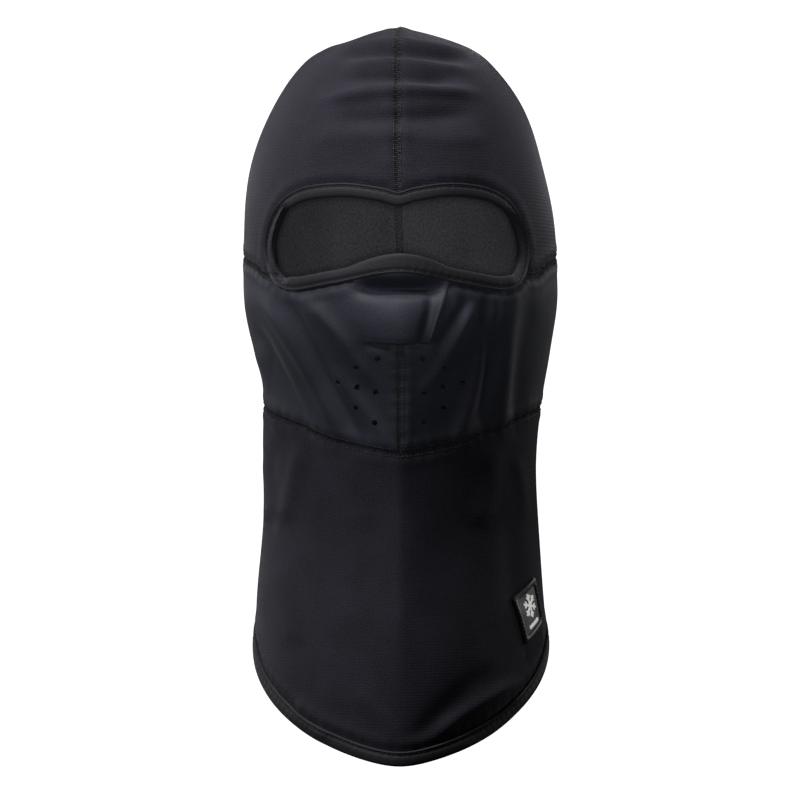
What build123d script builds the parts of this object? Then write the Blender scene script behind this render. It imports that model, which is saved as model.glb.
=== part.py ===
"""Balaclava for snow sports, as an assembly of its sewn pieces.

Millimetres. +Z is up, the face looks along -Y, and the wearer's left is +X.
The origin is the middle of the head space, at the level of the eyes.
The left half of each paired piece is modelled, and the right half mirrors it.
"""

import os
from math import cos, hypot, pi, sin

from build123d import *

os.makedirs("parts", exist_ok=True)

# Head: half width, and depths in front of and behind the origin, at the widest level.
head_half_width = 83.5
head_front_depth = 95
head_back_depth = 100
crown_top = 110.5
widest_level = -20
width_power = 2.28
front_power = 2.6
back_power = 2.4

# Neck: the tube under the head, narrowest at the throat and wider over the collar.
neck_half_width = 72.8
neck_front_depth = 82
neck_back_depth = 68
throat_level = -128
collar_half_width = 79.5
collar_front_depth = 92
collar_back_depth = 78
collar_level = -245
form_bottom = -305

# Creases where the two halves meet: a share of the front depth, 0 for a round section.
crown_crease = 0.05
bib_crease = 0.3
nose_rise = 4
nose_level = -52
nose_half_height = 34

# Cloth, thread and binding.
cloth_thickness = 1.2
thread_rise = 0.35
seam_half_width = 1.9
binding_width = 7
binding_rise = 0.8
stitch_inset = 1
stitch_width = 1
hem_binding_width = 7.5

# Eye opening: the outer edge of its binding, from the brow over the left corner to the nose,
# as the distance along the cloth from the middle, and the height.
eye_edge = [
    (0, 18.3),
    (31, 22.7),
    (59, 20.5),
    (76, 14),
    (83.7, -8),
    (77, -26),
    (62, -31.4),
    (35, -28.5),
    (0, -23.2),
]
eye_girth_radius = 87.3

# Panel seams and the hem, seen from the side, as (depth, height) from front to back.
side_seam_top = (32, -4)
side_seam_middle = (25, -110)
side_seam_foot = (22, -240)
cheek_seam_run = [(-112, -8), (-58, -23.5), (-34, -17), (0, -11)]
chin_seam_run = [(-112, -128), (-76, -113.2), (-34, -97), (0, -91), (60, -84)]
hem_run = [
    (-112, -288),
    (-90, -276),
    (-62, -260.5),
    (-30, -238.5),
    (-6, -221),
    (20, -209),
    (50, -217),
    (110, -247),
]

# Nose flap: hangs from the eye binding over the nose opening, free at its lower edge.
flap_half_top = 23
flap_half_foot = 15.8
flap_foot = -59
flap_top = -24
flap_thickness = 1
flap_gap = 0.5
flap_top_gap = 0.6
nose_opening_half_width = 10
nose_opening_top = -34
nose_opening_foot = -55
mask_seam_gap = 1.5

# Breathing holes punched in each half of the mask, and the mesh behind them.
vent_radius = 1.5
vents = [
    (11.5, -67),
    (22, -71),
    (32, -79),
    (22, -81.5),
    (12.5, -84),
    (22.5, -92),
    (12.5, -99.5),
]
mesh_thickness = 0.5
mesh_half_width = 42
mesh_top = -61
mesh_foot = -107

# Patch on the left of the bib, and the blank label inside the left side seam.
patch_width = 26
patch_height = 26
patch_corner = 2
patch_middle = -198.5
patch_angle = 1.06
patch_tilt = 24
patch_depth = 9
patch_base_thickness = 1
patch_frame_width = 3.2
patch_frame_rise = 0.6
patch_stitch_inset = 1.2
patch_stitch_width = 0.5
patch_stitch_rise = 0.3
emblem_rise = 0.4
emblem_arm = 6.2
emblem_line = 1
emblem_lift = 2.6
emblem_barb = 1.9
emblem_barb_place = 3.9
bar_width = 11
bar_height = 1.6
bar_drop = 7.2
label_width = 26
label_height = 44
label_thickness = 0.7
label_middle = -165
label_clearance = 1.2
label_angle = 8

# The half form is drawn with this many levels and points.
crown_levels = 8
neck_levels = 13
section_points = 12
reach = 160


def ease(value):
    """Smooth step from 0 to 1."""
    value = min(1, max(0, value))
    return value * value * (3 - 2 * value)


def blend(z, head, neck, collar):
    """A size below the widest level: head, then neck, then collar."""
    to_neck = ease((widest_level - z) / (widest_level - throat_level))
    to_collar = ease((throat_level - z) / (throat_level - collar_level))
    return head + (neck - head) * to_neck + (collar - neck) * to_collar


def dome(z, power):
    """Share of a size that is left at a level of the crown."""
    rise = (z - widest_level) / (crown_top - widest_level)
    return (1 - min(1, rise) ** power) ** (1 / power)


def half_width(z):
    if z > widest_level:
        return head_half_width * dome(z, width_power)
    return blend(z, head_half_width, neck_half_width, collar_half_width)


def front_depth(z):
    nose = nose_rise * (1 - ease(abs(z - nose_level) / nose_half_height))
    if z > widest_level:
        return head_front_depth * dome(z, front_power) + nose
    return blend(z, head_front_depth, neck_front_depth, collar_front_depth) + nose


def back_depth(z):
    if z > widest_level:
        return head_back_depth * dome(z, back_power)
    return blend(z, head_back_depth, neck_back_depth, collar_back_depth)


def crease(z):
    return blend(z, crown_crease, bib_crease, bib_crease)


def section_place(z, angle, grow=0):
    """A point of the section at a level, with the angle counted from the front."""
    width = half_width(z) + grow
    if angle <= pi / 2:
        fold = crease(z)
        share = (1 - fold) * cos(angle) + fold * (1 - sin(angle))
        return (width * sin(angle), -(front_depth(z) + grow) * share)
    return (width * sin(angle), -(back_depth(z) + grow) * cos(angle))


def form_levels(grow):
    """Heights of the sections, as (level of the profile, height, growth)."""
    levels = []
    rise = crown_top - widest_level
    for index in range(1, crown_levels + 1):
        angle = index * pi / 2 / crown_levels
        z = widest_level + rise * cos(angle) ** (2 / width_power)
        levels.append((z, z + grow * cos(angle), grow * sin(angle)))
    step = (widest_level - form_bottom) / neck_levels
    for index in range(1, neck_levels + 1):
        z = widest_level - index * step
        levels.append((z, z, grow))
    return levels


def half_form(grow):
    """Closed left half of the worn shape, grown outwards by a distance."""
    sections = []
    for z, height, out in form_levels(grow):
        angles = [pi * index / section_points for index in range(section_points + 1)]
        places = [section_place(z, angle, out) for angle in angles]
        places[-1] = (0, places[-1][1])
        slope = (front_depth(z) + out) * crease(z)
        with BuildSketch(Plane.XY.offset(height)) as section:
            with BuildLine():
                ends = ((half_width(z) + out, slope), (-1, 0))
                Spline(*places, tangents=ends, tangent_scalars=(1, 1))
                Line(places[-1], places[0])
            make_face()
        sections.append(section.sketch.face())
    with BuildPart() as form:
        loft([Vertex(0, 0, crown_top + grow)] + sections)
    return form.part


def layer(region, outside, inside):
    """Left half of the cloth inside a region, between two of the forms."""
    with BuildPart() as piece:
        add(region)
        add(outside, mode=Mode.INTERSECT)
        add(inside, mode=Mode.SUBTRACT)
    return piece.part


def from_side(upper, lower):
    """Region between two runs seen from the side, over the left half.

    The front stretch of each run is straight.
    """
    with BuildPart() as region:
        with BuildSketch(Plane.YZ):
            with BuildLine():
                Line(upper[0], upper[1])
                Line(lower[0], lower[1])
                top = Spline(*upper[1:])
                foot = Spline(*lower[1:])
                Line(upper[0], lower[0])
                Line(top @ 1, foot @ 1)
            make_face()
        extrude(amount=reach)
    return region.part


def shifted(run, rise):
    return [(depth, height + rise) for depth, height in run]


def behind_side_seam(offset):
    """Region behind the side seam, moved back by a distance."""
    top_level = side_seam_top[1] + 2 * seam_half_width
    with BuildPart() as region:
        with BuildSketch(Plane.YZ):
            with BuildLine():
                seam = Spline(
                    (side_seam_top[0] + offset, top_level),
                    (side_seam_middle[0] + offset, side_seam_middle[1]),
                    (side_seam_foot[0] + offset, side_seam_foot[1]),
                )
                Polyline(seam @ 1, (reach, side_seam_foot[1]), (reach, top_level), seam @ 0)
            make_face()
        extrude(amount=reach)
    return region.part


def eye_region(inset):
    """Eye opening cut along Y, with its edge moved in along the cloth."""
    places = []
    mirrored = [(-along, height) for along, height in eye_edge]
    run_of_points = [mirrored[1]] + eye_edge + [mirrored[-2]]
    for index, (along, height) in enumerate(eye_edge, start=1):
        before = run_of_points[index - 1]
        after = run_of_points[index + 1]
        run = (after[0] - before[0], after[1] - before[1])
        size = hypot(*run)
        along += inset * run[1] / size
        height -= inset * run[0] / size
        places.append((half_width(height) * sin(along / eye_girth_radius), height))
    with BuildPart() as region:
        with BuildSketch(Plane.XZ):
            with BuildLine():
                edge = Spline(*places, tangents=((1, 0), (-1, 0)), tangent_scalars=(1, 1))
                Line(edge @ 1, edge @ 0)
            make_face()
        extrude(amount=reach)
    return region.part


def front_outline(*corners):
    """Left half of a straight-sided outline seen from the front, cut along Y."""
    with BuildPart() as region:
        with BuildSketch(Plane.XZ):
            with BuildLine():
                Polyline(*corners, close=True)
            make_face()
        extrude(amount=reach)
    return region.part


def middle_band(width):
    """Left half of an upright band over the middle of the whole object."""
    with BuildPart() as region:
        with BuildSketch(Plane.XZ):
            with Locations((width / 2, (crown_top + form_bottom) / 2)):
                Rectangle(width, crown_top - form_bottom + reach)
        extrude(amount=reach, both=True)
    return region.part


def patch_plane():
    """Plane that lies on the bib at the middle of the patch, tilted with the hem."""
    small = 0.01
    place = section_place(patch_middle, patch_angle)
    ahead = section_place(patch_middle, patch_angle + small)
    run = Vector(ahead[0] - place[0], ahead[1] - place[1], 0).normalized()
    outwards = run.cross(Vector(0, 0, 1))
    tilted = run.rotate(Axis((0, 0, 0), outwards), patch_tilt)
    return Plane(origin=(place[0], place[1], patch_middle), x_dir=tilted, z_dir=outwards)


# Forms and regions that the pieces are cut from.
cloth_outside = half_form(0)
cloth_inside = half_form(-cloth_thickness)
thread_outside = half_form(thread_rise)
binding_outside = half_form(binding_rise)
binding_inside = half_form(-cloth_thickness - binding_rise)

cheek_seam_line = cheek_seam_run + [side_seam_top]
hem_edge_line = shifted(hem_run, hem_binding_width)
seam_ends = (hem_run[0], hem_run[4], hem_run[-1])
above_all = [(depth, crown_top + reach) for depth, height in seam_ends]
below_all = [(depth, form_bottom - reach) for depth, height in seam_ends]

eye_hole = eye_region(0)
behind_seam = behind_side_seam(0)
before_side_thread = behind_side_seam(-seam_half_width)
above_hem_binding = from_side(above_all, hem_edge_line)
below_chin_seam = from_side(chin_seam_run, below_all)

with BuildPart() as below_cheek_seam:
    add(from_side(cheek_seam_line, below_all))
    add(behind_seam, mode=Mode.SUBTRACT)

cloth_wall = layer(above_hem_binding, cloth_outside, cloth_inside)
thread_wall = layer(above_hem_binding, thread_outside, cloth_outside)

# Fleece halves: forehead, crown, sides above the cheek seams, and the whole back.
with BuildPart() as crown_left:
    add(cloth_wall)
    add(below_cheek_seam.part, mode=Mode.SUBTRACT)
    add(eye_hole, mode=Mode.SUBTRACT)

with BuildPart() as crown_right:
    mirror(crown_left.part, about=Plane.YZ)

# Windproof mask halves, joined under the nose, with the nose opening and the vents.
nose_opening = front_outline(
    (0, nose_opening_top),
    (nose_opening_half_width, nose_opening_top),
    (nose_opening_half_width, nose_opening_foot),
    (0, nose_opening_foot),
)

with BuildPart() as mask_left:
    add(cloth_wall)
    add(below_cheek_seam.part, mode=Mode.INTERSECT)
    add(below_chin_seam, mode=Mode.SUBTRACT)
    add(eye_hole, mode=Mode.SUBTRACT)
    add(nose_opening, mode=Mode.SUBTRACT)
    with BuildSketch(Plane.XZ):
        with Locations(*vents):
            Circle(vent_radius)
    extrude(amount=reach, mode=Mode.SUBTRACT)

with BuildPart() as mask_right:
    mirror(mask_left.part, about=Plane.YZ)

# Bib: one piece over the front of the neck, creased down the middle.
with BuildPart() as bib:
    add(cloth_wall)
    add(below_cheek_seam.part, mode=Mode.INTERSECT)
    add(below_chin_seam, mode=Mode.INTERSECT)
    mirror(about=Plane.YZ)

# Elastic bindings round the eye opening and the hem, and their stitch rows.
binding_skin_outside = half_form(binding_rise + thread_rise)

with BuildPart() as eye_binding:
    add(eye_hole)
    add(binding_outside, mode=Mode.INTERSECT)
    add(binding_inside, mode=Mode.SUBTRACT)
    add(eye_region(binding_width), mode=Mode.SUBTRACT)
    mirror(about=Plane.YZ)

with BuildPart() as eye_stitch:
    add(eye_region(stitch_inset))
    add(binding_skin_outside, mode=Mode.INTERSECT)
    add(binding_outside, mode=Mode.SUBTRACT)
    add(eye_region(stitch_inset + stitch_width), mode=Mode.SUBTRACT)
    mirror(about=Plane.YZ)

with BuildPart() as hem_binding:
    add(layer(from_side(hem_edge_line, hem_run), binding_outside, binding_inside))
    mirror(about=Plane.YZ)

hem_stitch_top = shifted(hem_edge_line, -stitch_inset)
hem_stitch_foot = shifted(hem_stitch_top, -stitch_width)

with BuildPart() as hem_stitch:
    add(layer(from_side(hem_stitch_top, hem_stitch_foot), binding_skin_outside, binding_outside))
    mirror(about=Plane.YZ)

# Flat seams, as the band of thread that covers each join.
cheek_band = from_side(
    shifted(cheek_seam_line, seam_half_width),
    shifted(cheek_seam_line, -seam_half_width),
)
chin_band = from_side(
    shifted(chin_seam_run, seam_half_width),
    shifted(chin_seam_run, -seam_half_width),
)
seam_band = middle_band(seam_half_width)

with BuildPart() as cheek_seam_left:
    add(thread_wall)
    add(cheek_band, mode=Mode.INTERSECT)
    add(before_side_thread, mode=Mode.SUBTRACT)
    add(eye_hole, mode=Mode.SUBTRACT)

with BuildPart() as cheek_seam_right:
    mirror(cheek_seam_left.part, about=Plane.YZ)

with BuildPart() as side_seam_left:
    add(thread_wall)
    add(before_side_thread, mode=Mode.INTERSECT)
    add(behind_side_seam(seam_half_width), mode=Mode.SUBTRACT)

with BuildPart() as side_seam_right:
    mirror(side_seam_left.part, about=Plane.YZ)

with BuildPart() as chin_seam:
    add(thread_wall)
    add(chin_band, mode=Mode.INTERSECT)
    add(before_side_thread, mode=Mode.SUBTRACT)
    mirror(about=Plane.YZ)

with BuildPart() as crown_seam:
    add(thread_wall)
    add(seam_band, mode=Mode.INTERSECT)
    add(below_cheek_seam.part, mode=Mode.SUBTRACT)
    add(eye_hole, mode=Mode.SUBTRACT)
    mirror(about=Plane.YZ)

mask_seam_top = flap_foot - mask_seam_gap
mask_seam_outline = front_outline(
    (0, mask_seam_top),
    (seam_half_width, mask_seam_top),
    (seam_half_width, form_bottom),
    (0, form_bottom),
)

with BuildPart() as mask_seam:
    add(thread_wall)
    add(mask_seam_outline, mode=Mode.INTERSECT)
    add(below_chin_seam, mode=Mode.SUBTRACT)
    add(chin_band, mode=Mode.SUBTRACT)
    mirror(about=Plane.YZ)

# Nose flap: sewn under the eye binding, clear of the mask behind it.
flap_outline = front_outline(
    (0, 0),
    (flap_half_top, 0),
    (flap_half_top, flap_top),
    (flap_half_foot, flap_foot),
    (0, flap_foot),
)

with BuildPart() as nose_flap:
    add(layer(flap_outline, half_form(flap_gap + flap_thickness), half_form(flap_gap)))
    add(eye_region(-flap_top_gap), mode=Mode.SUBTRACT)
    mirror(about=Plane.YZ)

# Mesh sewn behind the vents.
mesh_outline = front_outline(
    (0, mesh_top),
    (mesh_half_width, mesh_top),
    (mesh_half_width, mesh_foot),
    (0, mesh_foot),
)

with BuildPart() as vent_mesh:
    add(layer(mesh_outline, cloth_inside, half_form(-cloth_thickness - mesh_thickness)))
    mirror(about=Plane.YZ)

# Patch: a soft moulded base with a raised frame, a stitch row and a plain emblem.
patch_flat = patch_plane()
base_outside = half_form(patch_base_thickness)
frame_outside = half_form(patch_base_thickness + patch_frame_rise)
patch_stitch_outside = half_form(patch_base_thickness + patch_frame_rise + patch_stitch_rise)
emblem_outside = half_form(patch_base_thickness + emblem_rise)


def patch_block(inset):
    """Rounded block through the patch, with its edge moved in."""
    with BuildPart() as block:
        with BuildSketch(patch_flat):
            RectangleRounded(patch_width - 2 * inset, patch_height - 2 * inset, patch_corner - inset / 2)
        extrude(amount=patch_depth, both=True)
    return block.part


patch_block_whole = patch_block(0)
patch_window = patch_block(patch_frame_width)

with BuildPart() as patch_base:
    add(layer(patch_block_whole, base_outside, cloth_outside))

with BuildPart() as patch_frame:
    add(layer(patch_block_whole, frame_outside, base_outside))
    add(patch_window, mode=Mode.SUBTRACT)

with BuildPart() as patch_stitch:
    add(layer(patch_block(patch_stitch_inset), patch_stitch_outside, frame_outside))
    add(patch_block(patch_stitch_inset + patch_stitch_width), mode=Mode.SUBTRACT)

with BuildPart() as emblem_block:
    with BuildSketch(patch_flat):
        with Locations((0, emblem_lift)):
            with PolarLocations(0, 3):
                Rectangle(2 * emblem_arm, emblem_line)
            with PolarLocations(emblem_barb_place, 6):
                Rectangle(emblem_line, 2 * emblem_barb)
        with Locations((0, -bar_drop)):
            Rectangle(bar_width, bar_height)
    extrude(amount=patch_depth, both=True)

with BuildPart() as patch_emblem:
    add(layer(emblem_block.part, emblem_outside, base_outside))

# Care label: blank, caught in the left side seam on the inside, free at its front edge.
label_top = label_middle + label_height / 2
label_depth = side_seam_middle[0]
label_side = half_width(label_top) * (1 - (label_depth / back_depth(label_top)) ** 2) ** 0.5
label_edge = label_side - cloth_thickness - label_clearance
label_run = Vector(0, -1, 0).rotate(Axis.Z, -label_angle)
label_face = label_run.rotate(Axis.Z, -90)
label_plane = Plane(origin=(label_edge, label_depth, label_middle), x_dir=label_run, z_dir=label_face)

with BuildPart() as care_label:
    with BuildSketch(label_plane):
        with Locations((label_width / 2, 0)):
            Rectangle(label_width, label_height)
    extrude(amount=label_thickness)

pieces = {
    "crown_left": crown_left,
    "crown_right": crown_right,
    "mask_left": mask_left,
    "mask_right": mask_right,
    "bib": bib,
    "nose_flap": nose_flap,
    "vent_mesh": vent_mesh,
    "eye_binding": eye_binding,
    "hem_binding": hem_binding,
    "eye_stitch": eye_stitch,
    "hem_stitch": hem_stitch,
    "crown_seam": crown_seam,
    "mask_seam": mask_seam,
    "chin_seam": chin_seam,
    "cheek_seam_left": cheek_seam_left,
    "cheek_seam_right": cheek_seam_right,
    "side_seam_left": side_seam_left,
    "side_seam_right": side_seam_right,
    "patch_base": patch_base,
    "patch_frame": patch_frame,
    "patch_stitch": patch_stitch,
    "patch_emblem": patch_emblem,
    "care_label": care_label,
}

for name, piece in pieces.items():
    piece.part.label = name
    export_step(piece.part, f"parts/{name}.step")
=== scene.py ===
import math

import bpy
import numpy as np
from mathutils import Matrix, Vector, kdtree


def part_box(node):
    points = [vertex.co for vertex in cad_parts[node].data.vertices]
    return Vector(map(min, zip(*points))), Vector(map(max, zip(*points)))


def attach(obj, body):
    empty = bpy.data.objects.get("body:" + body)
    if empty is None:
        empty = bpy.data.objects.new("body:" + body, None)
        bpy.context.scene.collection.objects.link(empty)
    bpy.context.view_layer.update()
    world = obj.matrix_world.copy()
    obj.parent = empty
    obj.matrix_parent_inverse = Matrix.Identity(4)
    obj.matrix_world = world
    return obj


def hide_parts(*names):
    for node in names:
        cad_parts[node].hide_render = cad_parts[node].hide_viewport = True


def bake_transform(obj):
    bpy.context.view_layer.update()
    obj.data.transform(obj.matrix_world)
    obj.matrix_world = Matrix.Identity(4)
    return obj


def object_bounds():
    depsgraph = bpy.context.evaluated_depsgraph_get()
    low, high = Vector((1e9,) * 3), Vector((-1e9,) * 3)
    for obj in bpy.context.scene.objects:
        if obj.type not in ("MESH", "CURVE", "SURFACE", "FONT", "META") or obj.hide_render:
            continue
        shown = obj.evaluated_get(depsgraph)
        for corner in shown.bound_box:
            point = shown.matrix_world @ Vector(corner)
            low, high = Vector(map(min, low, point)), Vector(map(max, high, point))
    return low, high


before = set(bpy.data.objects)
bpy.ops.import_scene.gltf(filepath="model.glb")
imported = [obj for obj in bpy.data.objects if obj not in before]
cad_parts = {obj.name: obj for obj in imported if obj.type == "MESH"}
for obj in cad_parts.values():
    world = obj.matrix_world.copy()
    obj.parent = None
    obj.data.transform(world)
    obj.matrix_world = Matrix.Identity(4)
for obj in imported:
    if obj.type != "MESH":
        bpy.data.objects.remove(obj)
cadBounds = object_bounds()
mm = 0.001

# The worn shape, in millimetres. The CAD pieces were cut from the same one, but for the softening
# of the front ridge and the lean of the crown.
shape = {
    "headHalfWidth": 83.5, "headFront": 95, "headBack": 100, "crownTop": 110.5, "widestLevel": -20,
    "widthPower": 2.28, "frontPower": 2.6, "backPower": 2.4,
    "neckHalfWidth": 72.8, "neckFront": 82, "neckBack": 68, "throatLevel": -128,
    "collarHalfWidth": 79.5, "collarFront": 92, "collarBack": 78, "collarLevel": -245,
    "crownCrease": 0.05, "bibCrease": 0.3, "noseRise": 4, "noseLevel": -52, "noseHalfHeight": 34,
    "domeRun": 178, "eyeGirthRadius": 87.3, "clothThickness": 1.2,
    "ridgeSharp": 0.02, "ridgeSoft": 0.13, "softFrom": -190, "softTo": -268, "crownLean": -1.4,
}


def easeStep(value):
    value = np.clip(value, 0, 1)
    return value * value * (3 - 2 * value)


def levelSize(z, head, neck, collar):
    toNeck = easeStep((shape["widestLevel"] - z) / (shape["widestLevel"] - shape["throatLevel"]))
    toCollar = easeStep((shape["throatLevel"] - z) / (shape["throatLevel"] - shape["collarLevel"]))
    return head + (neck - head) * toNeck + (collar - neck) * toCollar


def domeShare(z, power):
    rise = (z - shape["widestLevel"]) / (shape["crownTop"] - shape["widestLevel"])
    return (1 - np.clip(rise, 0, 1) ** power) ** (1 / power)


def levelOfRun(run):
    # run counts down the cloth from the top of the crown
    rise = shape["crownTop"] - shape["widestLevel"]
    turn = np.clip(run / shape["domeRun"], 0, 1) * math.pi / 2
    dome = shape["widestLevel"] + rise * np.clip(np.cos(turn), 0, 1) ** (2 / shape["widthPower"])
    return np.where(run < shape["domeRun"], dome, shape["widestLevel"] + shape["domeRun"] - run)


def runOfLevel(z):
    z = np.asarray(z, float)
    rise = np.clip((z - shape["widestLevel"]) / (shape["crownTop"] - shape["widestLevel"]), 0, 1)
    turn = np.arccos(np.clip(rise ** (shape["widthPower"] / 2), 0, 1))
    dome = turn / (math.pi / 2) * shape["domeRun"]
    return np.where(z > shape["widestLevel"], dome, shape["domeRun"] + shape["widestLevel"] - z)


def formPoint(turn, run):
    # turn is the angle from the middle of the face, positive to the wearer's left
    z = levelOfRun(run)
    side = np.abs(turn)
    width = levelSize(z, shape["headHalfWidth"], shape["neckHalfWidth"], shape["collarHalfWidth"])
    width = width * domeShare(z, shape["widthPower"])
    front = levelSize(z, shape["headFront"], shape["neckFront"], shape["collarFront"])
    front = front * domeShare(z, shape["frontPower"])
    offNose = np.abs(z - shape["noseLevel"]) / shape["noseHalfHeight"]
    front = front + shape["noseRise"] * (1 - easeStep(offNose))
    back = levelSize(z, shape["headBack"], shape["neckBack"], shape["collarBack"])
    back = back * domeShare(z, shape["backPower"])
    crease = levelSize(z, shape["crownCrease"], shape["bibCrease"], shape["bibCrease"])
    # the ridge down the front is sharp under the chin and rounder towards the hem
    soft = easeStep((shape["softFrom"] - z) / (shape["softFrom"] - shape["softTo"]))
    ridge = shape["ridgeSharp"] + (shape["ridgeSoft"] - shape["ridgeSharp"]) * soft
    rise = np.sqrt(np.sin(side) ** 2 + ridge ** 2)
    frontShare = (1 - crease) * np.cos(side) + crease * (1 - rise)
    depth = np.where(side <= math.pi / 2, -front * frontShare, -back * np.cos(side))
    lean = shape["crownLean"] * easeStep((z + 20) / 60)
    return np.stack([width * np.sin(turn) + lean, depth, z], axis=-1)


def formNormal(turn, run):
    small = 0.004
    run = np.maximum(run, 0.8)
    across = formPoint(turn + small, run) - formPoint(turn - small, run)
    down = formPoint(turn, run + 0.4) - formPoint(turn, run - 0.4)
    normal = np.cross(down, across)
    return normal / np.maximum(np.linalg.norm(normal, axis=-1, keepdims=True), 1e-9)


def closingTurn(turn):
    # the first turn again, one round further if the line goes round the neck
    return turn[0] + 2 * math.pi * round((turn[-1] - turn[0]) / (2 * math.pi))


def smoothRun(points, perSpan=24, closed=False):
    # a curve through given points
    points = np.array(points, float)
    if closed:
        points = np.vstack([points[-1:], points, points[:2]])
    else:
        points = np.vstack([2 * points[:1] - points[1:2], points, 2 * points[-1:] - points[-2:-1]])
    curve = []
    for a, b, c, d in zip(points[:-3], points[1:-2], points[2:-1], points[3:]):
        for t in np.arange(perSpan) / perSpan:
            bend = (2 * a - 5 * b + 4 * c - d) * t * t + (3 * b - a - 3 * c + d) * t ** 3
            curve.append(0.5 * (2 * b + (c - a) * t + bend))
    if not closed:
        curve.append(points[-2])
    return np.array(curve)


# Pattern lines. Seams and hem are seen from the side, as depth and height.
pattern = {
    "sideSeam": [(33, 30), (32, -4), (25, -110), (22, -240), (22, -300)],
    "cheekSeam": [(-112, -8), (-58, -23.5), (-34, -17), (0, -11), (32, -4), (50, 0)],
    "chinSeam": [(-112, -128), (-76, -113.2), (-34, -97), (0, -91), (60, -84)],
    "hem": [
        (-112, -288), (-90, -276), (-62, -260.5), (-30, -238.5),
        (-6, -221), (20, -209), (50, -217), (110, -247),
    ],
    "hemBindingWidth": 7.5,
    # half of the eye opening, as run round the face and height
    "eyeEdge": [
        (0, 17.7), (9, 20.0), (31, 22.7), (57, 20.6), (73.5, 11.5),
        (83.7, -8), (77.5, -25), (62, -31.4), (35, -28.5), (0, -23.2),
    ],
    "eyeShift": 3.0, "eyeReach": 84,
    "sideSeamTop": -4, "sideSeamFoot": -201.5, "cheekSeamTurn": 0.78,
    "crownSeamFoot": 18.3, "maskSeamTop": -60.5,
}
sideTable = smoothRun(pattern["sideSeam"])[::-1]
cheekTable = smoothRun(pattern["cheekSeam"])
chinTable = smoothRun(pattern["chinSeam"])
hemTable = smoothRun(pattern["hem"])


def sideDepth(z):
    return np.interp(z, sideTable[:, 1], sideTable[:, 0])


def cheekLevel(depth):
    return np.interp(depth, cheekTable[:, 0], cheekTable[:, 1])


def chinLevel(depth):
    return np.interp(depth, chinTable[:, 0], chinTable[:, 1])


def hemLevel(depth):
    return np.interp(depth, hemTable[:, 0], hemTable[:, 1])


leftEye = pattern["eyeEdge"]
eyeLoop = smoothRun(leftEye + [(-a, b) for a, b in leftEye[-2:0:-1]], closed=True)
# worn a little to the wearer's right
eyeLoop[:, 0] -= pattern["eyeShift"] * np.abs(eyeLoop[:, 0]) / pattern["eyeReach"]


def resample(points, spacing, closed=False):
    points = np.array(points, float)
    if closed:
        points = np.vstack([points, points[:1]])
    along = np.concatenate([[0], np.cumsum(np.linalg.norm(np.diff(points, axis=0), axis=1))])
    count = max(2, int(round(along[-1] / spacing)) + (0 if closed else 1))
    places = np.linspace(0, along[-1], count, endpoint=not closed)
    return np.stack([np.interp(places, along, points[:, k]) for k in range(points.shape[1])], axis=1)


eyeLoop = resample(eyeLoop, 2.0, closed=True)


def loopDistance(along, z, loop):
    # distance to a closed loop, negative inside it
    best = np.full(along.shape, 1e9)
    inside = np.zeros(along.shape, bool)
    for (ax, az), (bx, bz) in zip(loop, np.roll(loop, -1, axis=0)):
        dx, dz = bx - ax, bz - az
        share = np.clip(((along - ax) * dx + (z - az) * dz) / (dx * dx + dz * dz), 0, 1)
        best = np.minimum(best, np.hypot(along - ax - share * dx, z - az - share * dz))
        if dz:
            crosses = ((az > z) != (bz > z)) & (along < ax + (z - az) * dx / dz)
            inside ^= crosses
    return np.where(inside, -best, best)


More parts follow.
